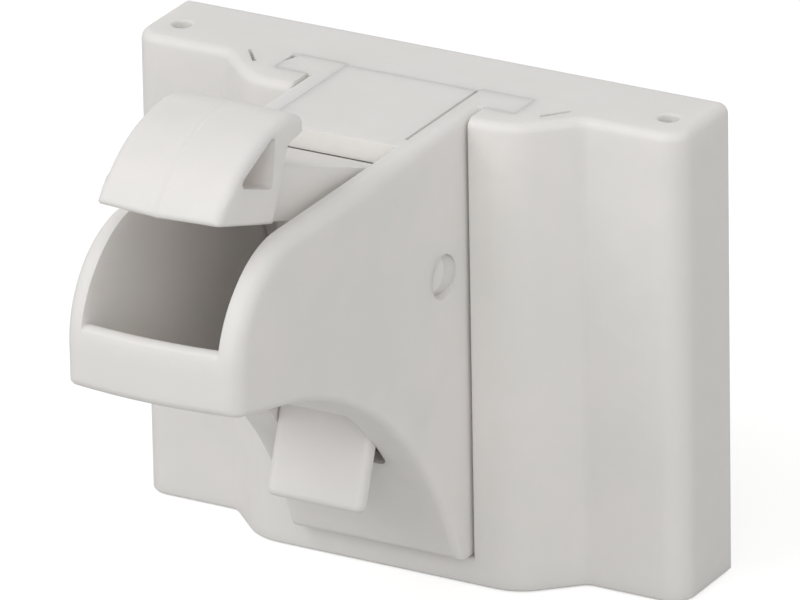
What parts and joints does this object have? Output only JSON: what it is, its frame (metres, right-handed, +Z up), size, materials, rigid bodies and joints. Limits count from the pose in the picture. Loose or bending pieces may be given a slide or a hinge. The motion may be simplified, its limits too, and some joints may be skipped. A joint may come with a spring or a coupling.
{
  "type": "cabinet safety lock",
  "caption": "Stick-on child safety lock for a cabinet door: flat plate, slide-in latch case, magnet-worked sprung hook and rocking lock switch.",
  "frame": {"origin": "centre of the adhesive pad's outer face, which sticks to the inside of the cabinet door", "axes": "+X across the door, +Y into the door (out of the adhesive face), +Z up towards the hook; the case stands out along -Y"},
  "size_m": [0.056, 0.0549, 0.0546],
  "materials": {
    "white_plastic": "warm off-white moulded ABS with a fine satin surface",
    "foam": "closed-cell acrylic foam tape, off-white",
    "magnet_nickel": "nickel-plated disc magnet",
    "spring_steel": "bright drawn spring wire"
  },
  "bodies": {
    "base": {"mounting_plate": "white_plastic", "back_panel": "white_plastic", "adhesive_pad": "foam"},
    "case": {"latch_case": "white_plastic", "return_spring": "spring_steel"},
    "lever": {"latch_lever": "white_plastic", "lever_magnet": "magnet_nickel", "magnet_cap": "white_plastic"},
    "switch": {"locking_switch": "white_plastic"}
  },
  "joints": [
    {"name": "case_slide", "type": "slide", "parent": "base", "child": "case", "axis": [0, 0, 1], "range_m": [0, 0.043]},
    {"name": "lever_swing", "type": "hinge", "parent": "case", "child": "lever", "pos_m": [0, -0.0181, 0.0089], "axis": [1, 0, 0], "range_deg": [0, 16.5], "stiffness_Nm_per_rad": 0.03, "springref_deg": -9.74, "deforming": ["return_spring"]},
    {"name": "switch_rock", "type": "hinge", "parent": "case", "child": "switch", "pos_m": [0, -0.0219, -0.0026], "axis": [1, 0, 0], "range_deg": [0, 22]}
  ]
}
